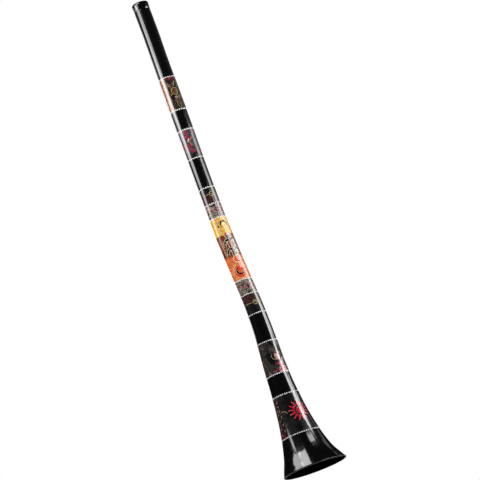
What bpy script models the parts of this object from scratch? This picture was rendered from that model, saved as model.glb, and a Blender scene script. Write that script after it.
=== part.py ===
"""A didgeridoo with a wide flared bell, standing on its bell.

Metres, +Z up along the instrument. The origin is the centre of the bell's mouth, on the floor.
The shell is four pieces: a mouthpiece ring plugged into an upper tube, which is socketed into a
lower tube, which is socketed into a bell. Nine printed sleeves and fourteen strings of painted
dots are laid over them.
Every piece is a stack of round sections about one gently wavy centreline, so each piece that lies
on another shares its facets and keeps an even gap to it.
"""

import math

import bmesh
import bpy

LENGTH = 1.45
BOW = 0.004
WALL = 0.0045
RIM_WALL = 0.0065
FLARE_HEIGHT = 0.12
SEGMENTS = 32
GAP = 0.0003

# The outside: height, sideways offset of the centre, outer diameter.
STATIONS = (
    (0.000, 0.0000, 0.1885),
    (0.020, -0.0026, 0.1700),
    (0.045, -0.0048, 0.1465),
    (0.080, -0.0060, 0.1248),
    (0.120, -0.0066, 0.1060),
    (0.170, -0.0075, 0.0890),
    (0.230, -0.0076, 0.0760),
    (0.300, -0.0075, 0.0665),
    (0.390, -0.0044, 0.0602),
    (0.475, -0.0028, 0.0550),
    (0.590, -0.0074, 0.0523),
    (0.700, -0.0122, 0.0521),
    (0.780, -0.0130, 0.0490),
    (0.950, -0.0121, 0.0474),
    (1.090, -0.0104, 0.0493),
    (1.290, -0.0077, 0.0468),
    (1.450, -0.0035, 0.0490),
)
BELL_STEP = 0.009
TUBE_STEP = 0.070
STEP_GROWTH_END = 0.40

RIM_ROUND = 0.003
RIM_BLEND = 0.004
RIM_FLAT = 0.0035

# The two joints in the shell: a spigot on the upper piece in a socket in the lower piece.
MIDDLE_JOINT = 0.660
BELL_TOP = 0.310
SPIGOT_LENGTH = 0.030
SPIGOT_STEP = 0.0022

# The mouthpiece: a thick round lip on a plug that goes into the tube.
TUBE_TOP = 1.425
MOUTH_HOLE = 0.030
LIP_ROUND = 0.007
LIP_INNER_ROUND = 0.002
PLUG_LENGTH = 0.028
ARC_STEPS = 4

WRAP_THICKNESS = 0.0005
DOT_HALF_HEIGHT = 0.0020
DOT_PROUD = 0.0011
DOT_MARGIN = 0.0005

# Heights of the strings of dots, from the mouth down.
DOT_RINGS = (
    1.209, 1.107, 1.045, 0.957, 0.8635, 0.814, 0.7705,
    0.576, 0.531, 0.471, 0.384, 0.2855, 0.2235, 0.103,
)

# Printed sleeves: name, the dot rings above and below it (numbered from the mouth), colour.
WRAPS = (
    ("wrap_curls", 1, 2, (0.10, 0.06, 0.05)),
    ("wrap_crimson", 3, 4, (0.16, 0.10, 0.11)),
    ("wrap_upper_slate", 5, 6, (0.08, 0.05, 0.06)),
    ("wrap_upper_maze", 6, 7, (0.30, 0.28, 0.24)),
    ("wrap_centre", 7, 8, (0.75, 0.40, 0.13)),
    ("wrap_lower_maze", 8, 9, (0.30, 0.28, 0.24)),
    ("wrap_lower_slate", 9, 10, (0.08, 0.05, 0.06)),
    ("wrap_mottled", 11, 12, (0.09, 0.08, 0.07)),
    ("wrap_bell", 13, 14, (0.05, 0.045, 0.045)),
)

# The round emblem printed on the bell's sleeve.
EMBLEM_HEIGHT = 0.166
EMBLEM_RADIUS = 0.033
EMBLEM_ANGLE = math.radians(-58)
EMBLEM_LIFT = 0.0013
EMBLEM_THICKNESS = 0.0005
EMBLEM_RINGS = 4
EMBLEM_SEGMENTS = 24

BLACK = (0.012, 0.012, 0.014)
WHITE = (0.85, 0.85, 0.83)
RED = (0.65, 0.03, 0.05)


def clear_scene():
    for thing in list(bpy.data.objects):
        bpy.data.objects.remove(thing)


def material(name, colour, roughness=0.12):
    mat = bpy.data.materials.new(name)
    mat.use_nodes = True
    shader = mat.node_tree.nodes["Principled BSDF"]
    shader.inputs["Base Color"].default_value = (*colour, 1)
    shader.inputs["Roughness"].default_value = roughness
    shader.inputs["Metallic"].default_value = 0
    return mat


def slope(index, value):
    """The tangent of the smooth outline at a station, from its neighbours."""
    low = STATIONS[max(index - 1, 0)]
    high = STATIONS[min(index + 1, len(STATIONS) - 1)]
    return (high[value] - low[value]) / (high[0] - low[0])


def outline(height, value):
    """The smooth outline at a height: value 1 is the offset, 2 is the diameter."""
    index = 0
    while index < len(STATIONS) - 2 and STATIONS[index + 1][0] < height:
        index += 1
    low, high = STATIONS[index], STATIONS[index + 1]
    span = high[0] - low[0]
    t = (height - low[0]) / span
    return (
        (2 * t**3 - 3 * t**2 + 1) * low[value]
        + (t**3 - 2 * t**2 + t) * span * slope(index, value)
        + (3 * t**2 - 2 * t**3) * high[value]
        + (t**3 - t**2) * span * slope(index + 1, value)
    )


def skin_heights():
    """Heights of the facets' edges, close together in the flare and wide apart on the tube."""
    heights = [0.0]
    while heights[-1] < LENGTH:
        growth = min(1.0, heights[-1] / STEP_GROWTH_END)
        heights.append(heights[-1] + BELL_STEP + (TUBE_STEP - BELL_STEP) * growth)
    heights[-1] = LENGTH
    return heights


HEIGHTS = skin_heights()


def skin(height):
    """Centre x, centre y and outer radius of the faceted skin at a height."""
    index = 0
    while index < len(HEIGHTS) - 2 and HEIGHTS[index + 1] <= height:
        index += 1
    low, high = HEIGHTS[index], HEIGHTS[index + 1]
    t = (height - low) / (high - low)
    ends = []
    for level in (low, high):
        bow = BOW * math.sin(math.pi * level / LENGTH)
        ends.append((outline(level, 1), bow, outline(level, 2) / 2))
    return tuple(a + (b - a) * t for a, b in zip(*ends))


def levels(high, low):
    """The heights from high to low, with the skin's own facet edges in between."""
    return [high] + [h for h in reversed(HEIGHTS) if low + 1e-6 < h < high - 1e-6] + [low]


def outside(high, low, offset=0.0):
    return [(h, skin(h)[2] + offset) for h in levels(high, low)]


def wall(height):
    thickening = max(0.0, 1 - height / FLARE_HEIGHT)
    return WALL + (RIM_WALL - WALL) * thickening


def inside(low, high):
    return [(h, skin(h)[2] - wall(h)) for h in reversed(levels(high, low))]


def turned(name, profile, mat):
    """A closed ring-shaped solid about the centreline. The profile is (height, radius) pairs that run
    down the outside and up the inside."""
    mesh = bpy.data.meshes.new(name)
    bm = bmesh.new()
    rings = []
    for height, radius in profile:
        x, y, _ = skin(min(height, LENGTH))
        ring = []
        for k in range(SEGMENTS):
            a = 2 * math.pi * k / SEGMENTS
            ring.append(bm.verts.new((x + radius * math.cos(a), y + radius * math.sin(a), height)))
        rings.append(ring)
    for ring, following in zip(rings, rings[1:] + rings[:1]):
        for k in range(SEGMENTS):
            following_k = (k + 1) % SEGMENTS
            bm.faces.new((ring[k], following[k], following[following_k], ring[following_k]))
    bm.normal_update()
    bm.to_mesh(mesh)
    bm.free()
    return finish(name, mesh, mat)


def finish(name, mesh, mat):
    mesh.shade_smooth()
    mesh.set_sharp_from_angle(angle=math.radians(35))
    mesh.materials.append(mat)
    piece = bpy.data.objects.new(name, mesh)
    bpy.context.scene.collection.objects.link(piece)
    return piece


def arc(centre_height, centre_radius, round_radius, start, end):
    """Points of a round edge, from one angle to another, in degrees from straight out."""
    points = []
    for step in range(ARC_STEPS + 1):
        a = math.radians(start + (end - start) * step / ARC_STEPS)
        height = centre_height + round_radius * math.sin(a)
        points.append((height, centre_radius + round_radius * math.cos(a)))
    return points


def make_mouthpiece(mat):
    """A rounded lip that stands on the tube's end, with a plug that fills the tube's bore below it."""
    lip_low = TUBE_TOP + GAP
    outer = skin(LENGTH)[2]
    hole = MOUTH_HOLE / 2
    plug = skin(TUBE_TOP)[2] - WALL - 2 * GAP
    profile = arc(LENGTH - LIP_ROUND, outer - LIP_ROUND, LIP_ROUND, 90, 0)
    profile.append((lip_low, skin(lip_low)[2]))
    profile.append((lip_low, plug))
    profile.append((TUBE_TOP - PLUG_LENGTH, plug))
    profile.append((TUBE_TOP - PLUG_LENGTH, hole))
    profile += arc(LENGTH - LIP_INNER_ROUND, hole + LIP_INNER_ROUND, LIP_INNER_ROUND, 180, 90)
    return turned("mouthpiece", profile, mat)


def spigot(joint):
    """The step at a piece's lower end, down the spigot and in to its bore."""
    radius = skin(joint)[2] - SPIGOT_STEP
    low = joint - SPIGOT_LENGTH
    return [(joint, radius), (low, radius), (low, skin(joint)[2] - WALL)]


def socket(joint):
    """The step at a piece's upper end, up the wall that takes the spigot."""
    radius = skin(joint)[2] - SPIGOT_STEP + GAP
    return [(joint - SPIGOT_LENGTH - GAP, radius), (joint - GAP, radius)]


def make_upper_tube(mat):
    profile = outside(TUBE_TOP, MIDDLE_JOINT) + spigot(MIDDLE_JOINT) + inside(MIDDLE_JOINT, TUBE_TOP)
    return turned("upper_tube", profile, mat)


def make_lower_tube(mat):
    profile = outside(MIDDLE_JOINT - GAP, BELL_TOP) + spigot(BELL_TOP)
    profile += inside(BELL_TOP, MIDDLE_JOINT - SPIGOT_LENGTH - GAP) + socket(MIDDLE_JOINT)
    return turned("lower_tube", profile, mat)


def make_bell(mat):
    """The flare, with a socket at its top and a rounded rim that it stands on."""
    rim = skin(0)[2]
    profile = outside(BELL_TOP - GAP, RIM_ROUND + RIM_BLEND)
    profile += arc(RIM_ROUND, rim - RIM_ROUND, RIM_ROUND, 0, -90)
    profile.append((0.0, rim - RIM_ROUND - RIM_FLAT))
    profile += inside(HEIGHTS[1], BELL_TOP - SPIGOT_LENGTH - GAP) + socket(BELL_TOP)
    return turned("bell", profile, mat)


def make_wrap(name, above, below, mat):
    """A printed sleeve between two strings of dots."""
    margin = DOT_HALF_HEIGHT + DOT_MARGIN
    high = DOT_RINGS[above - 1] - margin
    low = DOT_RINGS[below - 1] + margin
    profile = outside(high, low, GAP + WRAP_THICKNESS) + outside(high, low, GAP)[::-1]
    return turned(name, profile, mat)


def make_dot_ring(number, height, mat):
    """One string of painted dots, as a low bead around the shell."""
    high, low = height + DOT_HALF_HEIGHT, height - DOT_HALF_HEIGHT
    profile = [
        (high, skin(high)[2] + GAP),
        (height, skin(height)[2] + GAP + DOT_PROUD),
        (low, skin(low)[2] + GAP),
    ]
    return turned(f"dot_ring_{number:02d}", profile, mat)


def make_emblem(mat):
    """A thin round plate that follows the bell's sleeve."""
    bm = bmesh.new()
    layers = []
    for lift in (EMBLEM_LIFT, EMBLEM_LIFT + EMBLEM_THICKNESS):
        rings = []
        for step in range(EMBLEM_RINGS + 1):
            count = EMBLEM_SEGMENTS if step else 1
            ring = []
            for k in range(count):
                turn = 2 * math.pi * k / EMBLEM_SEGMENTS
                reach = EMBLEM_RADIUS * step / EMBLEM_RINGS
                height = EMBLEM_HEIGHT + reach * math.sin(turn)
                x, y, radius = skin(height)
                angle = EMBLEM_ANGLE + reach * math.cos(turn) / radius
                out = radius + lift
                ring.append(bm.verts.new((x + out * math.cos(angle), y + out * math.sin(angle), height)))
            rings.append(ring)
        layers.append(rings)
    for rings in layers:
        for k in range(EMBLEM_SEGMENTS):
            bm.faces.new((rings[0][0], rings[1][k], rings[1][(k + 1) % EMBLEM_SEGMENTS]))
        for ring, wider in zip(rings[1:], rings[2:]):
            for k in range(EMBLEM_SEGMENTS):
                following = (k + 1) % EMBLEM_SEGMENTS
                bm.faces.new((ring[k], wider[k], wider[following], ring[following]))
    inner, outer = layers[0][-1], layers[1][-1]
    for k in range(EMBLEM_SEGMENTS):
        following = (k + 1) % EMBLEM_SEGMENTS
        bm.faces.new((inner[k], outer[k], outer[following], inner[following]))
    bmesh.ops.recalc_face_normals(bm, faces=bm.faces)
    mesh = bpy.data.meshes.new("bell_emblem")
    bm.to_mesh(mesh)
    bm.free()
    return finish("bell_emblem", mesh, mat)


def main():
    clear_scene()
    black = material("black_lacquer", BLACK)
    white = material("white_paint", WHITE, 0.3)
    red = material("red_paint", RED, 0.25)
    make_mouthpiece(black)
    make_upper_tube(black)
    make_lower_tube(black)
    make_bell(black)
    for name, above, below, colour in WRAPS:
        make_wrap(name, above, below, material(name, colour))
    for number, height in enumerate(DOT_RINGS, 1):
        make_dot_ring(number, height, white)
    make_emblem(red)


main()
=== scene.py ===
"""The looks of a glossy black didgeridoo with a wide bell, printed bands and strings of painted dots.

Everything is placed on the skin of the CAD shell: a point is an angle in degrees round the instrument,
0 at the decorated front (-Y) and positive towards +X, a height in metres, and a lift off the skin.
"""

import math
import random

import bpy
import numpy as np
from mathutils import Matrix, Vector


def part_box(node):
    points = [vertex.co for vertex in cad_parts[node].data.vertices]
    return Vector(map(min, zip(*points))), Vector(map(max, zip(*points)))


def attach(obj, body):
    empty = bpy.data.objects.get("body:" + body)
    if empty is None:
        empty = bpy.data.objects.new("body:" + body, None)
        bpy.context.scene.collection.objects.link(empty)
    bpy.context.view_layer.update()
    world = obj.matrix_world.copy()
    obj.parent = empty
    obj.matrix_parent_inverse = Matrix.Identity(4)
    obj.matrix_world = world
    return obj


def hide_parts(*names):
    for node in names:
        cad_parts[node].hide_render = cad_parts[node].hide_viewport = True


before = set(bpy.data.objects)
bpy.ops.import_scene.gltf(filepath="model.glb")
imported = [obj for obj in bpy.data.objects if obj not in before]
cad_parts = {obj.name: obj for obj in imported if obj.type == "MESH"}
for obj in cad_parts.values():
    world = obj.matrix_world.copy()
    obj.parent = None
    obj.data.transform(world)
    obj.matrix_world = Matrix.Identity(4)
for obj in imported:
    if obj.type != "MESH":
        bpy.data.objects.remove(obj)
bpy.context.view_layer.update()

MM = 0.001
SHELL_NODES = ("upper_tube", "lower_tube", "bell", "mouthpiece")
TURNS = (0, 180)  # the artwork is laid on the front and again on the back
SEGMENTS = 128
FLARE_STEP = 2 * MM
TUBE_STEP = 6 * MM
FLARE_TOP = 0.13
BORE_STEP = 12 * MM
WALL = 4.5 * MM
RIM_WALL = 6.5 * MM
SPIGOT_LENGTH = 30 * MM
SPIGOT_STEP = 2.2 * MM
PIECE_GAP = 0.3 * MM
SHOULDER_GAP = 0.1 * MM
PLUG_GAP = 0.6 * MM
SEAM_ROUND = 0.05 * MM

LIP_ROUND = 7 * MM
LIP_INNER_ROUND = 2 * MM
RIM_ROUND = 3 * MM
RIM_FLAT = 3.5 * MM
RIM_TOP = 7 * MM
BORE_FOOT = 6 * MM
ROUND_STEPS = 12

SLEEVE_LIFT = 0.35 * MM
SLEEVE_EDGE = 0.3 * MM
SLEEVE_MARGIN = 0.2 * MM
SLEEVE_UNDERSIDE = 0.02 * MM
INK = 0.10 * MM
SINK = 0.05 * MM

DOT_RADIUS = 2.2 * MM
DOT_HEIGHT = 0.9 * MM
DOT_PITCH = 5.9 * MM
CLOSE_PITCH = 4.9 * MM
BELL_PITCH = 6.8 * MM

# How a painted mark rounds off: shares of its radius and of its height, from the middle out.
FLAT_TOP = ((0.0, 1.0), (0.5, 1.0), (0.88, 0.95), (1.0, 0.0))
DOME_TOP = ((0.0, 1.0), (0.45, 0.94), (0.75, 0.72), (0.93, 0.40), (1.0, 0.0))

COAT_IOR = 1.8

BLACK = (0.0016, 0.0016, 0.0018)
GOLD = (0.42, 0.32, 0.065)
CREAM = (0.76, 0.64, 0.44)
CRIMSON = (0.42, 0.02, 0.07)
INK_BLACK = (0.010, 0.009, 0.010)
PALE = (0.72, 0.70, 0.70)
VERMILION = (0.80, 0.085, 0.025)
EMBLEM_RED = (0.66, 0.010, 0.03)

rng = random.Random(7)


# ---------------------------------------------------------------------------------------- the skin


def ring_of(points):
    """Centre and largest radius of the vertices at one height."""
    xs, ys = [p.x for p in points], [p.y for p in points]
    cx, cy = (min(xs) + max(xs)) / 2, (min(ys) + max(ys)) / 2
    return cx, cy, max(math.hypot(p.x - cx, p.y - cy) for p in points)


def hidden_in_socket(height):
    """True at the heights where only a plug or spigot inside the next piece has a facet edge."""
    tops = [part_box(node)[1].z for node in ("bell", "lower_tube", "upper_tube")]
    return any(MM / 2 < top - height < SPIGOT_LENGTH + MM for top in tops)


def read_skin():
    """Rows of height, centre x, centre y and outer radius, one for each facet edge of the CAD shell."""
    levels = {}
    for node in SHELL_NODES:
        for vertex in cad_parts[node].data.vertices:
            levels.setdefault(round(vertex.co.z, 4), []).append(vertex.co)
    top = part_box("upper_tube")[1].z
    seen = [z for z in sorted(levels) if RIM_ROUND <= z <= top and not hidden_in_socket(z)]
    rows = [(z, *ring_of(levels[z])) for z in seen]
    kept = [rows[0]]
    for before, row, after in zip(rows, rows[1:], rows[2:]):
        share = (row[0] - before[0]) / (after[0] - before[0])
        straight = before[3] + (after[3] - before[3]) * share
        if row[3] > straight - MM:
            kept.append(row)
    return np.array(kept + [rows[-1]])


ROWS = read_skin()


def hermite(knots, values, at):
    """Values of a smooth curve through the knots."""
    at = np.clip(at, knots[0], knots[-1])
    low = np.clip(np.searchsorted(knots, at, side="right") - 1, 0, len(knots) - 2)
    span = knots[low + 1] - knots[low]
    t = (at - knots[low]) / span
    slopes = np.gradient(values, knots)
    return (
        (2 * t**3 - 3 * t**2 + 1) * values[low]
        + (t**3 - 2 * t**2 + t) * span * slopes[low]
        + (3 * t**2 - 2 * t**3) * values[low + 1]
        + (t**3 - t**2) * span * slopes[low + 1]
    )


def skin(height):
    """Centre x, centre y and radius of the smooth skin at a height, or at many."""
    height = np.asarray(height, float)
    return tuple(hermite(ROWS[:, 0], ROWS[:, column], height) for column in (1, 2, 3))


def place(angle, height, lift=0.0):
    """Points on the skin. The arguments may be arrays."""
    x, y, radius = skin(height)
    a = np.radians(angle)
    out = radius + lift
    return np.stack(np.broadcast_arrays(x + out * np.sin(a), y - out * np.cos(a), height), axis=-1)


def unrolled(anchor, dx, dz):
    """Angle and height of a point dx to the right of and dz above an anchor, measured along the skin."""
    angle, height = anchor
    height = height + np.asarray(dz, float)
    return angle + np.degrees(np.asarray(dx, float) / skin(height)[2]), height


# ------------------------------------------------------------------------------------ mesh builders


def new_object(name, vertices, faces, materials, face_material=None, uvs=None):
    mesh = bpy.data.meshes.new(name)
    mesh.from_pydata([tuple(v) for v in vertices], [], faces)
    for item in materials:
        mesh.materials.append(item)
    if face_material is not None:
        mesh.polygons.foreach_set("material_index", face_material)
    if uvs is not None:
        layer = mesh.uv_layers.new(name="skin")
        layer.data.foreach_set("uv", np.asarray(uvs, np.float32).ravel())
    mesh.shade_smooth()
    mesh.set_sharp_from_angle(angle=math.radians(50))
    mesh.validate()
    piece = bpy.data.objects.new(name, mesh)
    bpy.context.scene.collection.objects.link(piece)
    return piece


def lathe(name, profile, materials, inner=()):
    """A closed shell about the wavy centreline. The profile is (height, radius) pairs that run down the
    outside and up the inside; inner is the range of profile spans that get the second material."""
    heights, radii = (np.array(column) for column in zip(*profile))
    x, y, _ = skin(heights)
    a = 2 * np.pi * (np.arange(SEGMENTS) / SEGMENTS - 0.5)
    points = np.stack(
        (
            x[:, None] + radii[:, None] * np.sin(a),
            y[:, None] - radii[:, None] * np.cos(a),
            np.repeat(heights[:, None], SEGMENTS, axis=1),
        ),
        axis=-1,
    )
    count = len(profile)
    faces, uvs, slots = [], [], []
    for i in range(count):
        j = (i + 1) % count
        for k in range(SEGMENTS):
            n = (k + 1) % SEGMENTS
            faces.append((i * SEGMENTS + k, j * SEGMENTS + k, j * SEGMENTS + n, i * SEGMENTS + n))
            u0, u1 = k / SEGMENTS, (k + 1) / SEGMENTS
            uvs += [(u0, heights[i]), (u0, heights[j]), (u1, heights[j]), (u1, heights[i])]
            slots.append(1 if i in inner else 0)
    return new_object(name, points.reshape(-1, 3), faces, materials, slots, uvs)


class Marks:
    """Raised painted marks of one colour, gathered into one object."""

    def __init__(self, name, material, base=SLEEVE_LIFT, height=INK):
        self.name, self.material, self.base, self.height = name, material, base, height
        self.vertices, self.faces = [], []

    def add(self, vertices, faces):
        start = len(self.vertices)
        self.vertices += [tuple(v) for v in vertices]
        self.faces += [tuple(start + i for i in face) for face in faces]

    def stroke(self, anchor, path, width, closed=False):
        """A brush stroke along (dx, dz) points in mm. The width in mm is one number or one per point."""
        path = np.array(path, float) * MM
        widths = np.broadcast_to(np.array(width, float) * MM, len(path)) / 2
        if closed:
            tangent = np.roll(path, -1, axis=0) - np.roll(path, 1, axis=0)
        else:
            tangent = np.gradient(path, axis=0)
        tangent /= np.maximum(np.linalg.norm(tangent, axis=1, keepdims=True), 1e-9)
        side = np.stack((tangent[:, 1], -tangent[:, 0]), axis=1)
        across = ((-1, 0.0), (-0.8, 0.85), (0, 1.0), (0.8, 0.85), (1, 0.0))
        layers = []
        for offset, rise in across:
            at = path + side * (widths * offset)[:, None]
            layers.append(place(*unrolled(anchor, at[:, 0], at[:, 1]), self.base + self.height * rise))
        layers.append(place(*unrolled(anchor, path[:, 0], path[:, 1]), self.base - SINK))
        rows, loop = len(path), len(layers)
        vertices = np.stack(layers, axis=1).reshape(-1, 3)
        faces = []
        for i in range(rows if closed else rows - 1):
            j = (i + 1) % rows
            for k in range(loop):
                n = (k + 1) % loop
                faces.append((i * loop + k, i * loop + n, j * loop + n, j * loop + k))
        if not closed:
            faces.append(tuple(range(loop))[::-1])
            faces.append(tuple((rows - 1) * loop + k for k in range(loop)))
        self.add(vertices, faces)

    def blob(self, anchor, radius_x, radius_z, wobble=0.0, turn=0.0, segments=28, seed=0, top=FLAT_TOP):
        """A filled oval in mm, with an uneven edge, turned by an angle in degrees."""
        local = random.Random(seed)
        waves = [(k, local.uniform(-1, 1), local.uniform(0, 6.3)) for k in (2, 3, 5)]
        vertices = []
        t = np.radians(turn)
        a = 2 * np.pi * np.arange(segments) / segments
        edge = 1 + wobble * sum(s * np.sin(k * a + p) for k, s, p in waves) / 2
        for share, rise in top:
            dx, dz = radius_x * MM * share * edge * np.cos(a), radius_z * MM * share * edge * np.sin(a)
            at = unrolled(anchor, dx * np.cos(t) - dz * np.sin(t), dx * np.sin(t) + dz * np.cos(t))
            ring = place(*at, self.base + self.height * rise)
            vertices += list(ring[:1] if share == 0 else ring)
        vertices.append(place(anchor[0], anchor[1], self.base - SINK))
        faces = []
        bottom = 1 + (len(top) - 1) * segments
        for k in range(segments):
            n = (k + 1) % segments
            faces.append((0, 1 + k, 1 + n))
            for ring in range(len(top) - 2):
                low, high = 1 + ring * segments, 1 + (ring + 1) * segments
                faces.append((low + k, high + k, high + n, low + n))
            faces.append((bottom, bottom - segments + n, bottom - segments + k))
        self.add(vertices, faces)

    def ring(self, anchor, radius, width, stretch=1.0, points=48):
        self.arc(anchor, radius, width, 0, 360, stretch, points)

    def arc(self, anchor, radius, width, start, end, stretch=1.0, points=32, taper=0.0):
        """Part of a ring, in mm and degrees. With a taper its ends run out thin."""
        full = abs(end - start) >= 360
        t = np.linspace(0, 1, points, endpoint=not full)
        a = np.radians(start + (end - start) * t)
        path = np.stack((radius * np.cos(a), radius * stretch * np.sin(a)), axis=1)
        thin = 1 - taper * np.abs(2 * t - 1) ** 2
        self.stroke(anchor, path, width * thin, closed=full)

    def curve(self, anchor, knots, width, points=24, taper=0.0):
        """A smooth stroke through a few (dx, dz) knots in mm."""
        knots = np.array(knots, float)
        ways = np.arange(len(knots), dtype=float)
        at = np.linspace(0, ways[-1], points)
        path = np.stack([hermite(ways, knots[:, c], at) for c in (0, 1)], axis=1)
        t = np.linspace(-1, 1, points)
        if np.ndim(width):
            width = hermite(ways, np.array(width, float), at)
        self.stroke(anchor, path, width * (1 - taper * np.abs(t) ** 2))

    def finish(self, replaces=None):
        piece = new_object(self.name, self.vertices, self.faces, [self.material])
        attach(piece, "root")
        if replaces:
            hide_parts(replaces)
        return piece


# ---------------------------------------------------------------------------------------- materials


class Shading:
    """Builds one material's nodes. Textures run in object space, in metres, and so does height. A turn
    comes from the skin's own coordinates, where 0.5 is the front."""

    def __init__(self, name, roughness=0.3, coat=1.0, coat_roughness=0.12, specular=0.15):
        self.material = bpy.data.materials.new(name)
        self.material.use_nodes = True
        self.tree = self.material.node_tree
        self.shader = self.tree.nodes["Principled BSDF"]
        self.shader.inputs["Roughness"].default_value = roughness
        self.shader.inputs["Coat Weight"].default_value = coat
        self.shader.inputs["Coat Roughness"].default_value = coat_roughness
        self.shader.inputs["Coat IOR"].default_value = COAT_IOR
        self.shader.inputs["Specular IOR Level"].default_value = specular
        self.where = self.add("ShaderNodeTexCoord").outputs["Object"]

    def add(self, kind, inputs=None, **settings):
        node = self.tree.nodes.new(kind)
        for key, value in settings.items():
            setattr(node, key, value)
        for key, value in (inputs or {}).items():
            if isinstance(value, bpy.types.NodeSocket):
                self.tree.links.new(value, node.inputs[key])
            else:
                node.inputs[key].default_value = value
        return node

    def stretched(self, scale):
        return self.add("ShaderNodeMapping", {"Vector": self.where, "Scale": scale}).outputs[0]

    def noise(self, scale, detail=3, roughness=0.6, distortion=0.0, stretch=None, move=0.0):
        vector = self.stretched(stretch) if stretch else self.where
        if move:
            vector = self.add("ShaderNodeVectorMath", {0: vector, 1: (move, move, move)}).outputs[0]
        inputs = {"Vector": vector, "Scale": scale, "Detail": detail, "Roughness": roughness}
        return self.add("ShaderNodeTexNoise", {**inputs, "Distortion": distortion}).outputs[0]

    def cells(self, scale):
        """Distance to the nearest of many scattered points."""
        return self.add("ShaderNodeTexVoronoi", {"Vector": self.where, "Scale": scale}).outputs["Distance"]

    def math(self, operation, a, b, c=0.0):
        return self.add("ShaderNodeMath", {0: a, 1: b, 2: c}, operation=operation).outputs[0]

    def remap(self, value, low, high, to_low=0.0, to_high=1.0):
        inputs = {"Value": value, "From Min": low, "From Max": high, "To Min": to_low, "To Max": to_high}
        return self.add("ShaderNodeMapRange", inputs, interpolation_type="SMOOTHSTEP").outputs[0]

    def mix(self, share, a, b):
        a, b = ((*v, 1) if isinstance(v, tuple) else v for v in (a, b))
        return self.add("ShaderNodeMix", {0: share, 6: a, 7: b}, data_type="RGBA").outputs[2]

    def ramp(self, value, *stops):
        """Colours at places from 0 to 1, given as (place, colour)."""
        node = self.add("ShaderNodeValToRGB", {0: value})
        elements = node.color_ramp.elements
        while len(elements) < len(stops):
            elements.new(0.5)
        for element, (place_at, colour) in zip(elements, stops):
            element.position, element.color = place_at, (*colour, 1)
        return node.outputs[0]

    @property
    def turn(self):
        uv = self.add("ShaderNodeUVMap", uv_map="skin").outputs[0]
        return self.add("ShaderNodeSeparateXYZ", {0: uv}).outputs[0]

    @property
    def height(self):
        return self.add("ShaderNodeSeparateXYZ", {0: self.where}).outputs[2]

    def bump(self, height, distance):
        node = self.add("ShaderNodeBump", {"Height": height, "Distance": distance, "Strength": 1.0})
        self.tree.links.new(node.outputs[0], self.shader.inputs["Normal"])
        self.tree.links.new(node.outputs[0], self.shader.inputs["Coat Normal"])

    def colour(self, value):
        if isinstance(value, tuple):
            self.shader.inputs["Base Color"].default_value = (*value, 1)
        else:
            self.tree.links.new(value, self.shader.inputs["Base Color"])

    def lacquered(self):
        """The faint waviness of a sprayed clear coat."""
        self.bump(self.noise(95, detail=1.5, roughness=0.4), 0.06 * MM)
        return self.material


def black_lacquer():
    s = Shading("black_lacquer", specular=0.0)
    tone = s.ramp(s.noise(7, detail=2), (0.35, BLACK), (0.7, (0.0028, 0.0028, 0.0032)))
    s.colour(tone)
    return s.lacquered()


def raw_fibreglass():
    """The bore: dark resin over a woven mat, which prints through it."""
    s = Shading("raw_fibreglass", roughness=0.55, coat=0.25, coat_roughness=0.3)
    fibres = s.noise(420, detail=2, stretch=(1, 1, 0.12), distortion=0.4)
    lumps = s.noise(60, detail=3)
    s.colour(s.ramp(fibres, (0.3, (0.010, 0.009, 0.008)), (0.7, (0.040, 0.034, 0.028))))
    s.bump(s.mix(0.5, fibres, lumps), 0.5 * MM)
    return s.material


def brushed_paint(name, colour, darker):
    """Paint of one hue with the uneven cover of a brush."""
    s = Shading(name, roughness=0.35)
    s.colour(s.ramp(s.noise(260, detail=4), (0.3, darker), (0.6, colour)))
    return s.lacquered()


def dot_paint():
    s = Shading("white_dot_paint", roughness=0.32, coat=0.6, coat_roughness=0.12)
    s.colour(s.ramp(s.noise(700, detail=3), (0.22, (0.68, 0.66, 0.63)), (0.5, (0.88, 0.875, 0.86))))
    s.bump(s.noise(900, detail=2), 0.05 * MM)
    return s.material


def curls_print(low):
    """Dark earth mottle, with warm patches round to the left."""
    s = Shading("curls_print")
    dark = s.ramp(
        s.noise(62, detail=6, roughness=0.7, distortion=0.8),
        (0.38, (0.007, 0.005, 0.005)),
        (0.50, (0.022, 0.010, 0.008)),
        (0.55, (0.030, 0.022, 0.010)),
        (0.61, (0.12, 0.065, 0.070)),
        (0.70, (0.20, 0.14, 0.15)),
    )
    warm = s.ramp(
        s.noise(34, detail=3, roughness=0.5, distortion=1.6, move=3.0),
        (0.34, (0.012, 0.005, 0.005)),
        (0.40, (0.34, 0.015, 0.022)),
        (0.45, (0.40, 0.075, 0.025)),
        (0.49, (0.020, 0.008, 0.006)),
        (0.55, (0.36, 0.20, 0.055)),
        (0.60, (0.22, 0.11, 0.12)),
        (0.66, (0.016, 0.009, 0.007)),
    )
    edge = s.math("ADD", s.turn, s.math("MULTIPLY", s.noise(50, detail=3), 0.10))
    left = s.remap(edge, 0.475, 0.515, 1.0, 0.0)
    top = s.remap(s.height, low + 86 * MM, low + 96 * MM)
    maroon = s.math("MULTIPLY", top, s.remap(s.noise(40, move=1.0), 0.46, 0.56))
    dark = s.mix(maroon, dark, (0.12, 0.008, 0.016))
    s.colour(s.mix(left, dark, warm))
    return s.lacquered()


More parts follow.
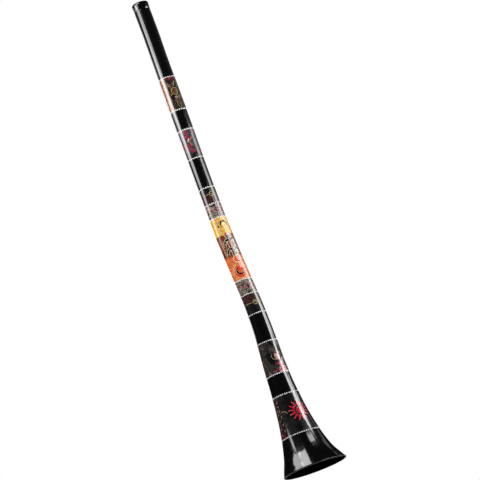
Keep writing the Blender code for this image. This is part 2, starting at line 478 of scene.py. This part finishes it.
def crimson_print(low):
    """Grey speckle with crimson patches and a dark green foot."""
    s = Shading("crimson_print")
    grey = s.ramp(
        s.noise(170, detail=5, roughness=0.75),
        (0.35, (0.022, 0.020, 0.022)),
        (0.50, (0.060, 0.052, 0.056)),
        (0.66, (0.15, 0.130, 0.138)),
    )
    patches = s.remap(s.noise(44, detail=3, distortion=0.7, move=5.0), 0.53, 0.60)
    red = s.ramp(s.noise(120, detail=4), (0.3, (0.13, 0.004, 0.020)), (0.65, (0.30, 0.035, 0.065)))
    foot = s.remap(s.height, low + 28 * MM, low + 9 * MM)
    foot = s.math("MULTIPLY", foot, s.remap(s.noise(60, move=9.0), 0.36, 0.50))
    s.colour(s.mix(foot, s.mix(patches, grey, red), (0.008, 0.014, 0.008)))
    return s.lacquered()


def slate_print(name, split, slate_above):
    """Slate on one side of a line and speckled maroon on the other."""
    s = Shading(name)
    slate = s.ramp(
        s.noise(34, detail=4, stretch=(1, 1, 0.25)),
        (0.3, (0.003, 0.003, 0.0035)),
        (0.7, (0.013, 0.012, 0.013)),
    )
    maroon = s.ramp(
        s.noise(240, detail=5, roughness=0.8),
        (0.36, (0.005, 0.003, 0.004)),
        (0.50, (0.036, 0.009, 0.010)),
        (0.64, (0.12, 0.045, 0.050)),
    )
    above = s.remap(s.height, split - 0.4 * MM, split + 0.4 * MM)
    s.colour(s.mix(above, maroon, slate) if slate_above else s.mix(above, slate, maroon))
    return s.lacquered()


def maze_print(name, move):
    """Fine winding dark lines on beige, with a few crimson specks."""
    s = Shading(name)
    hills = s.noise(46, detail=1.6, roughness=0.5, distortion=0.6, move=move)
    lines = s.math("PINGPONG", s.math("MULTIPLY", hills, 9.0), 0.5)
    beige = s.ramp(s.noise(300, detail=3), (0.3, (0.21, 0.175, 0.14)), (0.7, (0.42, 0.35, 0.30)))
    dark = s.ramp(s.noise(80, detail=2), (0.35, (0.010, 0.010, 0.007)), (0.65, (0.060, 0.050, 0.035)))
    specks = s.remap(s.cells(150), 0.16, 0.10)
    ground = s.mix(s.remap(lines, 0.20, 0.28), dark, beige)
    s.colour(s.mix(s.math("MULTIPLY", specks, 0.75), ground, (0.25, 0.015, 0.035)))
    return s.lacquered()


def centre_print(earth_top, earth_low):
    """Yellow above, wood-brown in the middle, orange below, with wandering borders."""
    s = Shading("centre_print")
    yellow = s.ramp(
        s.noise(38, detail=4, roughness=0.55, distortion=1.2),
        (0.32, (0.70, 0.27, 0.014)),
        (0.44, (0.73, 0.41, 0.035)),
        (0.56, (0.77, 0.51, 0.085)),
        (0.70, (0.86, 0.70, 0.30)),
    )
    grain = s.noise(120, detail=4, roughness=0.6, distortion=0.5, stretch=(1, 1, 0.13))
    earth = s.ramp(
        grain,
        (0.34, (0.08, 0.007, 0.012)),
        (0.43, (0.25, 0.026, 0.020)),
        (0.50, (0.13, 0.046, 0.014)),
        (0.57, (0.34, 0.070, 0.024)),
        (0.66, (0.16, 0.024, 0.024)),
        (0.74, (0.24, 0.12, 0.08)),
    )
    orange = s.ramp(
        s.noise(46, detail=4, roughness=0.55, distortion=2.0, move=2.0),
        (0.34, (0.68, 0.085, 0.022)),
        (0.50, (0.72, 0.15, 0.032)),
        (0.66, (0.78, 0.30, 0.10)),
    )
    wander = s.math("MULTIPLY", s.math("SUBTRACT", s.noise(60, detail=3), 0.5), 9 * MM)
    level = s.math("ADD", s.height, wander)
    upper = s.mix(s.remap(level, earth_top - 1.5 * MM, earth_top + 1.5 * MM), earth, yellow)
    s.colour(s.mix(s.remap(level, earth_low - 4 * MM, earth_low + 4 * MM), orange, upper))
    return s.lacquered()


def mottled_print_and_painted_highlight(low):
    """Dark camouflage, with rose patches coming up from the lower right. The rose is print; the extra light
    cream-rose patches round the front right, where the highlight falls, are painted highlight.
    """
    s = Shading("mottled_print_and_painted_highlight")
    dark = s.ramp(
        s.noise(36, detail=4, roughness=0.55, distortion=0.5),
        (0.38, (0.004, 0.004, 0.005)),
        (0.45, (0.042, 0.038, 0.043)),
        (0.51, (0.036, 0.034, 0.011)),
        (0.56, (0.004, 0.004, 0.004)),
        (0.62, (0.13, 0.085, 0.090)),
        (0.70, (0.018, 0.014, 0.016)),
    )
    pink_and_painted_highlight = s.ramp(
        s.noise(85, detail=4, distortion=0.7, move=4.0),
        (0.34, (0.20, 0.010, 0.030)),
        (0.44, (0.48, 0.07, 0.10)),
        (0.54, (0.62, 0.36, 0.36)),
        (0.64, (0.60, 0.50, 0.38)),
        (0.74, (0.30, 0.24, 0.10)),
    )
    rise = s.remap(s.height, low + 75 * MM, low)
    # More patches round the front right, where the highlight falls: painted highlight over the rose print.
    turn = s.math("PINGPONG", s.math("SUBTRACT", s.turn, 0.10), 0.5)
    right = s.remap(turn, 0.41, 0.49)
    share = s.math("MULTIPLY", right, s.math("MULTIPLY_ADD", rise, 0.17, 0.20))
    share = s.math("ADD", share, s.math("MULTIPLY", s.remap(s.height, low + 22 * MM, low), 0.15))
    patches = s.remap(s.math("ADD", s.noise(48, detail=3, distortion=0.6, move=7.0), share), 0.70, 0.80)
    s.colour(s.mix(patches, dark, pink_and_painted_highlight))
    return s.lacquered()


def bell_print(low):
    """Near black with charcoal clouds, brown flecks at the left and a maroon foot there."""
    s = Shading("bell_print")
    dark = s.ramp(
        s.noise(42, detail=5, roughness=0.65),
        (0.42, (0.0028, 0.0028, 0.0030)),
        (0.58, (0.009, 0.0085, 0.009)),
        (0.70, (0.034, 0.031, 0.030)),
    )
    edge = s.math("ADD", s.turn, s.math("MULTIPLY", s.noise(30, detail=2), 0.06))
    left = s.remap(edge, 0.37, 0.43, 1.0, 0.0)
    flecks = s.remap(s.noise(130, detail=4, roughness=0.7), 0.50, 0.62)
    brown = s.mix(flecks, dark, (0.16, 0.085, 0.075))
    foot = s.remap(s.height, low + 22 * MM, low + 6 * MM)
    foot = s.math("MULTIPLY", foot, s.remap(s.noise(90), 0.38, 0.5))
    s.colour(s.mix(left, dark, s.mix(foot, brown, (0.17, 0.012, 0.018))))
    return s.lacquered()


def floor_paint():
    """A pale floor that shows only from above, with a glow that only the camera sees."""
    s = Shading("pale_floor", roughness=0.6, coat=0.0)
    s.colour((0.82, 0.82, 0.82))
    seen = s.add("ShaderNodeLightPath").outputs["Is Camera Ray"]
    s.shader.inputs["Emission Color"].default_value = (1, 1, 1, 1)
    s.tree.links.new(s.math("MULTIPLY", seen, FLOOR_GLOW), s.shader.inputs["Emission Strength"])
    facing = s.add("ShaderNodeNewGeometry").outputs["Backfacing"]
    clear = s.add("ShaderNodeBsdfTransparent").outputs[0]
    both = s.add("ShaderNodeMixShader", {0: facing, 1: s.shader.outputs[0], 2: clear})
    s.tree.links.new(both.outputs[0], s.tree.nodes["Material Output"].inputs["Surface"])
    return s.material


# ------------------------------------------------------------------------------------- shell pieces


def ring_height(number):
    low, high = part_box(f"dot_ring_{number:02d}")
    return (low.z + high.z) / 2


def levels(high, low):
    """Heights from high to low, close together in the flare."""
    heights = [high]
    while heights[-1] > low:
        step = FLARE_STEP if heights[-1] <= FLARE_TOP else TUBE_STEP
        heights.append(heights[-1] - step)
    heights = [h for h in heights if h > low + MM / 2]
    return heights + [low]


def outside(high, low, lift=0.0):
    return [(h, skin(h)[2] + lift) for h in levels(high, low)]


def bore(low, high):
    count = max(2, int((high - low) / BORE_STEP))
    return [(h, skin(h)[2] - WALL) for h in np.linspace(low, high, count)]


def rounded(height, radius, size, start, end, steps=ROUND_STEPS):
    """Points of a round edge between two angles in degrees, counted from straight out."""
    a = np.radians(np.linspace(start, end, steps + 1))
    return [(height + size * math.sin(t), radius + size * math.cos(t)) for t in a]


def seam_top(height):
    """The small round at a piece's upper outer edge."""
    return rounded(height - SEAM_ROUND, skin(height)[2] - SEAM_ROUND, SEAM_ROUND, 90, 0, 3)


def seam_low(height):
    return rounded(height + SEAM_ROUND, skin(height)[2] - SEAM_ROUND, SEAM_ROUND, 0, -90, 3)


def shell_piece(name, profile, bore_profile, tail, coats, node):
    """A length of the shell: its outside, then its bore in the second material."""
    whole = profile + bore_profile + tail
    first = len(profile)
    piece = lathe(name, whole, coats, range(first - 1, first + len(bore_profile) - 1))
    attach(piece, "root")
    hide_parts(node)


def make_shell(black, fibre):
    coats = [black, fibre]
    tube_low, tube_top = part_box("upper_tube")[0].z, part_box("upper_tube")[1].z
    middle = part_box("lower_tube")[1].z
    bell_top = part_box("bell")[1].z

    def spigot_steps(joint):
        radius = skin(joint)[2] - SPIGOT_STEP
        return [(joint, radius), (joint - SPIGOT_LENGTH, radius)]

    def socket_steps(joint):
        radius = skin(joint)[2] - SPIGOT_STEP + PIECE_GAP
        return [(joint - SPIGOT_LENGTH - PIECE_GAP, radius), (joint, radius)]

    def tube_outside(top, joint):
        """The outside from a top edge down to a joint, and then down its spigot."""
        low = joint + PIECE_GAP
        return seam_top(top) + outside(top - MM, joint + MM) + seam_low(low) + spigot_steps(low)

    shell_piece(
        "shell_upper_tube",
        tube_outside(tube_top, middle),
        bore(tube_low, tube_top),
        [],
        coats,
        "upper_tube",
    )
    shell_piece(
        "shell_lower_tube",
        tube_outside(middle, bell_top),
        bore(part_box("lower_tube")[0].z, middle - SPIGOT_LENGTH - PIECE_GAP),
        socket_steps(middle),
        coats,
        "lower_tube",
    )
    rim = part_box("bell")[1].x
    rim_edge = rounded(RIM_ROUND, rim - RIM_ROUND, RIM_ROUND, 0, -90)
    flat_inner = rim - RIM_ROUND - RIM_FLAT
    rim_inner = [(0.0, flat_inner), (0.8 * MM, flat_inner - 0.9 * MM)]
    flare = []
    for height in levels(bell_top - SPIGOT_LENGTH - MM, BORE_FOOT):
        thicker = (RIM_WALL - WALL) * max(0, 1 - height / FLARE_TOP)
        flare.append((height, skin(height)[2] - WALL - thicker))
    shell_piece(
        "shell_bell",
        seam_top(bell_top) + outside(bell_top - MM, RIM_TOP) + rim_edge + rim_inner,
        flare[::-1],
        socket_steps(bell_top),
        coats,
        "bell",
    )


def make_mouthpiece(black):
    low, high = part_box("mouthpiece")
    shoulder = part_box("upper_tube")[1].z + SHOULDER_GAP
    outer = (high.x - low.x) / 2
    hole = min(
        math.hypot(v.co.x - (low.x + high.x) / 2, v.co.y - (low.y + high.y) / 2)
        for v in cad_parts["mouthpiece"].data.vertices
    )
    plug = skin(shoulder)[2] - WALL - PLUG_GAP
    profile = rounded(high.z - LIP_ROUND, outer - LIP_ROUND, LIP_ROUND, 90, 0)
    profile += seam_low(shoulder)
    profile += [(shoulder, plug), (low.z, plug), (low.z, hole)]
    profile += rounded(high.z - LIP_INNER_ROUND, hole + LIP_INNER_ROUND, LIP_INNER_ROUND, 180, 90)
    piece = lathe("mouth_lip", profile, [black])
    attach(piece, "root")
    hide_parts("mouthpiece")


def make_sleeve(name, above, below, material):
    """A printed sleeve, from just under one string of dots to just over the next."""
    high, low = ring_height(above) - SLEEVE_MARGIN, ring_height(below) + SLEEVE_MARGIN
    edge = SLEEVE_EDGE
    profile = rounded(high - edge, skin(high)[2] + SLEEVE_LIFT - edge, edge, 90, 0, 3)
    profile += outside(high - 2 * edge, low + 2 * edge, SLEEVE_LIFT)
    profile += rounded(low + edge, skin(low)[2] + SLEEVE_LIFT - edge, edge, 0, -90, 3)
    profile += outside(high, low, SLEEVE_UNDERSIDE)[::-1]
    piece = lathe("print_" + name, profile, [material])
    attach(piece, "root")
    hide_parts("wrap_" + name)


def make_dots(number, material):
    """A string of hand-painted dots, each a low dome of slightly uneven size and place."""
    height = ring_height(number)
    string = Marks(f"painted_dots_{number:02d}", material, base=0.0, height=DOT_HEIGHT)
    radius = float(skin(height)[2])
    pitch = CLOSE_PITCH if number in (7, 8) else BELL_PITCH if number > 12 else DOT_PITCH
    count = round(2 * math.pi * radius / pitch)
    drift = rng.uniform(0, 6.3)
    for k in range(count):
        angle = 360 * (k + rng.uniform(-0.07, 0.07)) / count
        wave = 0.25 * MM * math.sin(math.radians(angle) + drift)
        at = (angle, height + wave + rng.uniform(-0.12, 0.12) * MM)
        size = DOT_RADIUS / MM * rng.uniform(0.88, 1.06)
        string.blob(at, size, size * rng.uniform(0.9, 1.02), segments=14, top=DOME_TOP)
    piece = string.finish(f"dot_ring_{number:02d}")


# ---------------------------------------------------------------------------------------- artwork


def art_curls(inks):
    gold, maroon, umber, black = inks("curls", "gold", "maroon", "umber", "black")
    foot = ring_height(2)
    for turn in TURNS:
        eye = (24.5 + turn, foot + 56.5 * MM)
        gold.ring(eye, 9.6, 2.0, stretch=1.08)
        gold.ring(eye, 5.6, 0.9, stretch=1.08)
        maroon.blob(eye, 3.2, 3.4, 0.12, seed=1)
        black.blob((eye[0] + 13, eye[1] + 1 * MM), 1.3, 1.6)
        gold.curve(eye, [(-2, 13), (2, 19), (5, 25), (9, 33)], 1.7, taper=0.5)
        gold.curve(eye, [(11, 12), (15, 20), (14, 28)], 0.8, taper=0.5)
        gold.curve(eye, [(-16, 15), (-12, 17.5), (-8, 17)], 1.4, taper=0.6)
        gold.curve(eye, [(-15, -11), (-11, -8.5), (-7, -8)], 1.4, taper=0.6)
        for loop in range(2):
            gold.ring((eye[0] + 6 + 18 * loop, eye[1] - 16.5 * MM), 2.6, 0.7, stretch=1.25, points=24)
        umber.blob((eye[0] - 2, eye[1] - 19 * MM), 5.0, 3.4, 0.3, -15, seed=6)
        gold.ring((eye[0] + 4, eye[1] - 37 * MM), 5.2, 0.9, stretch=2.9)
        gold.curve((eye[0] + 4, eye[1] - 37 * MM), [(1, -9), (-1, -1), (1.5, 8)], 0.8, taper=0.6)
        maroon.blob((eye[0] - 6, eye[1] + 41 * MM), 7.5, 3.2, 0.3, 20, seed=2)
        gold.ring((78 + turn, foot + 78 * MM), 6.5, 1.1, stretch=1.2)
        gold.curve((80 + turn, foot + 33 * MM), [(-6, -14), (2, -4), (-3, 8), (4, 20)], 1.2, taper=0.5)


def art_crimson(inks):
    gold, crimson, pale, black = inks("crimson", "gold", "crimson", "pale", "black")
    foot = ring_height(4)
    spots = (
        (-4, 78.5, 5.2), (-7, 65, 4.8), (1, 40.5, 4.4),
        (2, 23.5, 5.4), (-78, 71, 5), (70, 77, 5),
    )
    for turn in TURNS:
        for k, (angle, rise, size) in enumerate(spots):
            crimson.blob((angle + turn, foot + rise * MM), size, size * 1.05, 0.35, 30 * k, seed=k)
        bend = (22 + turn, foot + 51 * MM)
        gold.curve(bend, [(12, -3), (9.5, 5), (5, 9.5), (-1, 8), (-7, 0), (-5, -6), (-7, -11)], 1.6, 40, 0.35)
        gold.curve(bend, [(-7, -11), (-3, -12.5), (1, -11)], 1.1, taper=0.5)
        pale.curve(bend, [(-7.5, 9.5), (-10.5, 4), (-13, -2)], [1.2, 3.0, 1.4], taper=0.3)
        black.blob((8 + turn, foot + 9.5 * MM), 11, 5.5, 0.3, seed=5)


def art_slate(inks, name, line, disc_angle):
    gold, black, pale = inks(name, "gold", "black", "pale")
    radius = float(skin(line)[2])
    gap, far = math.degrees(7.6 * MM / radius), 90 - disc_angle
    for turn in TURNS:
        spot = (disc_angle + turn, line)
        gold.ring(spot, 6.1, 1.8, stretch=1.05)
        black.blob(spot, 4.6, 4.9, 0.04, seed=3)
        pale.blob((spot[0] - 1, spot[1] + 0.8 * MM), 1.2, 1.3, 0.1, seed=4)
        for start, end in ((-far, -gap), (gap, far)):
            steps = np.linspace(start, end, 40)
            reach = np.radians(steps) * radius / MM
            sway = 0.35 * np.sin(np.radians(steps) * 7 + line * 900)
            gold.stroke(spot, np.stack((reach, sway), axis=1), 1.3)


def art_maze(inks, name, line, disc_angle):
    crimson, black, pale = inks(name, "crimson", "black", "ash")
    scale = float(skin(line)[2]) / MM
    for turn in TURNS:
        spot = (disc_angle + turn, line)
        crimson.ring(spot, 6.6, 2.3, stretch=1.12)
        black.blob((spot[0] - 2.5, spot[1]), 3.6, 5.0, 0.06, seed=6)
        pale.arc((spot[0] + 3, spot[1]), 3.3, 1.7, -85, 85, 1.3, taper=0.4)
        for steps in (np.linspace(-112, -17, 50), np.linspace(17, 68, 30)):
            reach = np.radians(steps) * scale
            crimson.stroke(spot, np.stack((reach, 0.3 * np.sin(steps / 6)), axis=1), 1.2)
        for angle, tilt in ((-79, 10), (-72, -20), (-45, 25), (-38, -25), (33, 20), (41, -20), (-100, 20)):
            crimson.blob((spot[0] + angle, line), 2.9, 1.9, 0.15, tilt, 16, seed=int(angle + 200))
        for angle, rise in ((-60, 9), (-20, -11), (15, 12), (40, -10), (-95, -8), (60, 9), (-35, 13)):
            crimson.blob((spot[0] + angle, line + rise * MM), 0.8, 0.8, 0.1, segments=12)


def art_centre(inks):
    colours = ("cream", "amber", "black", "pale", "vermilion", "ash")
    cream, amber, black, pale, red, ash = inks("centre", *colours)
    foot = ring_height(8)
    halo = ((15.5, amber, 1.6), (19.0, cream, 1.3), (23.5, amber, 1.0), (27.5, cream, 1.2))
    for turn in TURNS:
        sun = (25.5 + turn, foot + 170.5 * MM)
        for radius, ink, width in halo:
            ink.arc(sun, radius, width, 20, 340, 0.95, 60, 0.3)
        black.arc(sun, 9.6, 5.0, -38, 218, 1.0, 44, 0.70)
        ash.curve(sun, [(-13.5, 13.5), (-17.0, 7), (-17.5, 1)], [1.2, 4.2, 2.0], taper=0.3)
        black.curve(sun, [(-18.5, 3), (-16.5, -4), (-13, -8)], [2.0, 5.0, 1.2], taper=0.3)
        disc = (10 + turn, foot + 24.5 * MM)
        red.blob(disc, 16.6, 17.6, 0.03, seed=8, segments=56)
        cream.ring(disc, 19.0, 1.1, stretch=1.06, points=64)
        amber.ring(disc, 22.5, 0.9, stretch=1.05, points=64)
        black.arc((11.5 + turn, foot + 27 * MM), 9.6, 5.8, 105, 375, 1.05, 44, 0.7)
        cream.arc((12.5 + turn, foot + 27 * MM), 12.2, 0.9, 60, 300, 1.05, 44, 0.5)
        for offset, start in ((0, 200), (7, 210), (14, 220)):
            swirl = (-42 + turn, foot + 56 * MM)
            cream.arc(swirl, 13 + offset, 0.7, start, start + 150, 1.3, 40, 0.6)
        for shift in (-62, -40, -22, 62):
            grain = (shift + turn, foot + 107 * MM)
            cream.curve(grain, [(-1, -27), (2.2, -8), (-1.5, 10), (1, 27)], 0.6, 30, 0.7)
        lizard((22 + turn, foot + 101.5 * MM), cream, black, pale, red, ash)


def lizard(heart, cream, black, pale, red, ash):
    """A generic climbing lizard: a spindle body with four bent legs, a blunt head and a short tail."""
    spine = [(-2, 44), (-2, 38), (0, 27), (2, 12), (3, -4), (1, -20), (0, -34), (0, -46)]
    girth = [7, 13, 11, 20, 21, 15, 13, 12]
    legs = (
        [(0, 20), (-9, 21), (-16, 13), (-19, 3)],
        [(0, -8), (-9, -7), (-17, -15), (-19, -25)],
        [(3, 20), (12, 22), (16, 15), (17, 7)],
        [(3, -10), (12, -8), (16, -14), (16, -22)],
    )
    cream.curve(heart, spine, [g + 2.8 for g in girth], 60)
    for leg in legs:
        cream.curve(heart, leg, [9.6, 9.2, 8.6, 8.0], 30)
    black.curve(heart, spine[1:7], [9.5, *girth[2:6], 9.5], 56)
    for leg in legs:
        black.curve(heart, leg, [7.4, 7.0, 6.4, 5.6], 30)
    red.curve(heart, [spine[0], (-2.5, 40), (-2, 35)], [6.2, 11, 7.0], 20)
    rump = (heart[0], heart[1] - 38 * MM)
    cream.blob(rump, 11.6, 12.6, 0.03, seed=2, segments=40)
    red.blob(rump, 9.6, 10.6, 0.04, seed=2, segments=40)
    ash.curve(rump, [(5, 6), (6.8, 0), (5, -6.5)], [2.0, 3.4, 2.0], 14)
    ash.curve(heart, [(4.5, 1), (5.5, -8), (4.5, -18)], [3.0, 7.5, 4.0], 28)
    pale.curve(heart, [(2, 40), (3, 34)], [3.6, 3.0], 10)
    for k, (dx, dz) in enumerate(((-12, 18), (-16, 9), (-11, -9.5), (-17, -20), (14, 18), (15, -13))):
        at = unrolled(heart, dx * MM, dz * MM)
        ash.blob((float(at[0]), float(at[1])), 1.7, 2.8, 0.25, 25 * k, 14, seed=k)


def art_mottled(inks):
    gold, crimson, pale = inks("mottled", "gold", "crimson", "rose")
    foot = ring_height(12)
    spots = (
        (22, 27.5, 8, 3.0), (42, 23.5, 6, 4.0), (26, 9, 9, 2.6),
        (48, 7, 7, 3.2), (2, 10, 6, 2.2), (60, 39.5, 5, 5),
    )
    for turn in TURNS:
        eye = (20 + turn, foot + 51 * MM)
        gold.arc(eye, 10.5, 1.5, 150, 285, 1.05, 30, 0.5)
        gold.arc(eye, 15.5, 0.8, 10, 80, 1.05, 24, 0.6)
        pale.blob((24 + turn, foot + 52 * MM), 5.2, 6.0, 0.3, seed=3)
        for k, (angle, rise, wide, tall) in enumerate(spots):
            ink = pale if k % 2 else crimson
            ink.blob((angle + turn, foot + rise * MM), wide, tall, 0.35, 8 * k, seed=k)


def art_bell(inks):
    gold, umber = inks("bell", "gold", "umber")
    foot = ring_height(14)
    for turn in TURNS:
        sprig = (-34 + turn, foot + 69 * MM)
        gold.curve(sprig, [(-14, -1), (-6, 4), (3, 4.5), (10, 1), (15, -5)], 1.5, 32, 0.55)
        for k, rise in enumerate((105, 92, 79.5, 61, 38.5, 20.5)):
            height = foot + rise * MM
            umber.blob((-50 + 1.2 * k + turn, height), 1.8, 4.0, 0.2, -18, 18, seed=k)
            umber.blob((-62 + turn, height - 8 * MM), 2.4, 3.2, 0.35, 20 * k, 18, seed=k + 9)


def art_emblem(material):
    """A plain red sun: a disc in a ring of tapering rays."""
    low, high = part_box("bell_emblem")
    height = (low.z + high.z) / 2
    cx, cy, _ = skin(height)
    angle = math.degrees(math.atan2((low.x + high.x) / 2 - cx, -((low.y + high.y) / 2 - cy)))
    sun = Marks("bell_sun", material, SLEEVE_LIFT, INK * 1.5)
    reach = (high.z - low.z) / 2 / MM
    sun.blob((angle, height), reach * 0.30, reach * 0.30, 0.02, segments=40)
    rays = 14
    for k in range(rays):
        a = 2 * math.pi * (k + 0.5) / rays
        way = np.array((math.cos(a), math.sin(a)))
        sun.curve((angle, height), [way * reach * 0.45, way * reach * 0.7, way * reach], [6.0, 4.4, 1.0], 14)
    piece = sun.finish("bell_emblem")


def ink_wells():
    """One material for each colour of paint."""
    colours = {
        "gold": (GOLD, (0.22, 0.15, 0.03)),
        "maroon": ((0.24, 0.02, 0.03), (0.10, 0.006, 0.012)),
        "black": (INK_BLACK, (0.004, 0.004, 0.004)),
        "crimson": (CRIMSON, (0.20, 0.006, 0.03)),
        "pale": (PALE, (0.46, 0.43, 0.45)),
        "ash": ((0.42, 0.41, 0.43), (0.20, 0.19, 0.21)),
        "cream": (CREAM, (0.66, 0.44, 0.20)),
        "amber": ((0.90, 0.33, 0.04), (0.70, 0.18, 0.02)),
        "vermilion": (VERMILION, (0.62, 0.05, 0.02)),
        "rose": ((0.66, 0.34, 0.33), (0.40, 0.10, 0.13)),
        "umber": ((0.40, 0.25, 0.22), (0.16, 0.07, 0.06)),
        "red": (EMBLEM_RED, (0.50, 0.008, 0.03)),
    }
    return {name: brushed_paint(name + "_ink", *pair) for name, pair in colours.items()}


def slate_line(above, below, rise):
    """Height of the gold line on a slate sleeve, counted from the middle between two strings of dots."""
    return (ring_height(above) + ring_height(below)) / 2 + rise


def make_artwork(upper_line, lower_line):
    wells = ink_wells()
    lifts = {"maroon": 1.0, "crimson": 1.0, "cream": 0.8, "amber": 0.7, "vermilion": 1.15, "black": 1.3}
    lifts.update({"gold": 1.5, "ash": 1.7, "pale": 1.8, "rose": 0.9, "umber": 1.0})
    opened = []

    def inks_for(slot):
        def inks(name, *colours):
            marks = [Marks(f"{name}_{c}_marks", wells[c], SLEEVE_LIFT, INK * lifts[c]) for c in colours]
            opened.extend((slot, m) for m in marks)
            return marks

        return inks

    art_curls(inks_for("wrap_curls"))
    art_crimson(inks_for("wrap_crimson"))
    art_slate(inks_for("wrap_upper_slate"), "upper_slate", upper_line, 21.4)
    art_maze(inks_for("wrap_upper_maze"), "upper_maze", ring_height(7) + 25.5 * MM, 21.6)
    art_centre(inks_for("wrap_centre"))
    art_maze(inks_for("wrap_lower_maze"), "lower_maze", ring_height(9) + 23.5 * MM, 21.1)
    art_slate(inks_for("wrap_lower_slate"), "lower_slate", lower_line, 18.4)
    art_mottled(inks_for("wrap_mottled"))
    art_bell(inks_for("wrap_bell"))
    for slot, marks in opened:
        marks.finish()
    art_emblem(wells["red"])


# ------------------------------------------------------------------------- camera, lights and floor

# Worked out separately from how the strings of dots curve, not chosen by hand.
CAMERA_DISTANCE = 9.5
CAMERA_DROP = 1.17
CAMERA_SIDE = 0.0262
CAMERA_RISE = math.radians(11.077)
LEAN = math.radians(20.545)
LENS = 253.95

FLOOR_REACH = 6.0
FLOOR_LEVEL = -0.3 * MM
FLOOR_GLOW = 0.35

# Greys of the empty studio: to matte surfaces, to the camera and in reflections.
MATTE_TONE = 0.25
BACKDROP_TONE = 1.0
MIRROR_TONE = 0.012


def view_axes():
    """The photographer's right, up and forward, with the camera rolled so that the instrument leans."""
    forward = Vector((0, math.cos(CAMERA_RISE), math.sin(CAMERA_RISE)))
    level_up = Vector((0, -math.sin(CAMERA_RISE), math.cos(CAMERA_RISE)))
    level_right = Vector((1, 0, 0))
    right = level_right * math.cos(LEAN) - level_up * math.sin(LEAN)
    up = level_right * math.sin(LEAN) + level_up * math.cos(LEAN)
    return right, up, forward


def make_camera():
    right, up, forward = view_axes()
    data = bpy.data.cameras.new("camera")
    data.lens = LENS
    data.sensor_width = 36
    data.clip_start, data.clip_end = 0.1, 100
    camera = bpy.data.objects.new("camera", data)
    axes = Matrix((right, up, -forward)).transposed().to_4x4()
    camera.matrix_world = Matrix.Translation((CAMERA_SIDE, -CAMERA_DISTANCE, -CAMERA_DROP)) @ axes
    bpy.context.scene.collection.objects.link(camera)
    bpy.context.scene.camera = camera


def softbox(name, at, yaw, tilt, roll, size, radiance):
    """A rectangular softbox. At zero angles it faces +Y; yaw turns it about the vertical."""
    data = bpy.data.lights.new(name, "AREA")
    data.shape = "RECTANGLE"
    data.size, data.size_y = size
    data.energy = radiance * math.pi * size[0] * size[1]
    light = bpy.data.objects.new(name, data)
    turns = zip((yaw, tilt, roll, 90), "ZXYX")
    facing = Matrix.Identity(4)
    for angle, axis in turns:
        facing = facing @ Matrix.Rotation(math.radians(angle), 4, axis)
    light.matrix_world = Matrix.Translation(at) @ facing
    light.visible_camera = False
    bpy.context.scene.collection.objects.link(light)


def make_lights():
    """Eight softboxes, each with its place, three turns, size and radiance.

    These numbers are not chosen by hand. A least-squares fit to the shell's highlights made them, and
    they are rounded to 0.1 m and whole degrees. Only right_box was also changed.
    """
    softbox("left_box", (-1.3, -0.6, 1.6), -66, 24, 46, (1.1, 1.4), 4.3)
    softbox("top_box", (-1.0, -1.5, 3.1), -30, -18, 80, (2.1, 1.6), 5.7)
    softbox("right_box", (3.6, 0.5, 1.4), 51, 59, -17, (3.9, 1.7), 5.2)
    softbox("right_edge_box", (2.1, 1.5, 1.7), 82, 39, 38, (0.6, 3.6), 0.5)
    softbox("left_edge_box", (-1.2, 2.2, 1.4), -112, 57, -22, (1.6, 4.0), 2.9)
    softbox("left_side_box", (-3.4, -1.2, 2.1), -6, 24, 20, (3.6, 0.4), 6.6)
    softbox("low_right_box", (1.0, -0.2, 0.5), 31, 33, 44, (0.4, 1.0), 7.1)
    softbox("bell_box", (1.0, -0.8, 1.0), 41, 28, 3, (0.7, 0.2), 6.1)


def make_world():
    """White to the camera, soft grey to matte surfaces and nearly black in reflections."""
    world = bpy.data.worlds.new("studio")
    world.use_nodes = True
    tree = world.node_tree
    path = tree.nodes.new("ShaderNodeLightPath")

    def grey(tone):
        background = tree.nodes.new("ShaderNodeBackground")
        background.inputs["Color"].default_value = (tone, tone, tone, 1)
        return background.outputs[0]

    shown = grey(MATTE_TONE)
    for ray, tone in (("Is Glossy Ray", MIRROR_TONE), ("Is Camera Ray", BACKDROP_TONE)):
        choice = tree.nodes.new("ShaderNodeMixShader")
        tree.links.new(path.outputs[ray], choice.inputs[0])
        tree.links.new(shown, choice.inputs[1])
        tree.links.new(grey(tone), choice.inputs[2])
        shown = choice.outputs[0]
    tree.links.new(shown, tree.nodes["World Output"].inputs["Surface"])
    bpy.context.scene.world = world


def make_floor():
    ways = ((-1, -1), (1, -1), (1, 1), (-1, 1))
    corners = [(x * FLOOR_REACH, y * FLOOR_REACH, FLOOR_LEVEL) for x, y in ways]
    floor = new_object("floor", corners, [(0, 1, 2, 3)], [floor_paint()])


def main():
    black, fibre, white = black_lacquer(), raw_fibreglass(), dot_paint()
    make_shell(black, fibre)
    make_mouthpiece(black)
    upper_line = slate_line(5, 6, 3.7 * MM)
    lower_line = slate_line(9, 10, 2.0 * MM)
    centre_foot = ring_height(8)
    sleeves = (
        ("curls", 1, 2, curls_print(ring_height(2))),
        ("crimson", 3, 4, crimson_print(ring_height(4))),
        ("upper_slate", 5, 6, slate_print("upper_slate_print", upper_line, True)),
        ("upper_maze", 6, 7, maze_print("upper_maze_print", 0.0)),
        ("centre", 7, 8, centre_print(centre_foot + 140 * MM, centre_foot + 72 * MM)),
        ("lower_maze", 8, 9, maze_print("lower_maze_print", 5.0)),
        ("lower_slate", 9, 10, slate_print("lower_slate_print", lower_line, False)),
        ("mottled", 11, 12, mottled_print_and_painted_highlight(ring_height(12))),
        ("bell", 13, 14, bell_print(ring_height(14))),
    )
    for sleeve in sleeves:
        make_sleeve(*sleeve)
    for number in range(1, 15):
        make_dots(number, white)
    make_artwork(upper_line, lower_line)
    make_camera()
    make_world()
    make_lights()
    make_floor()


bpy.context.scene.view_settings.view_transform = "Standard"
main()
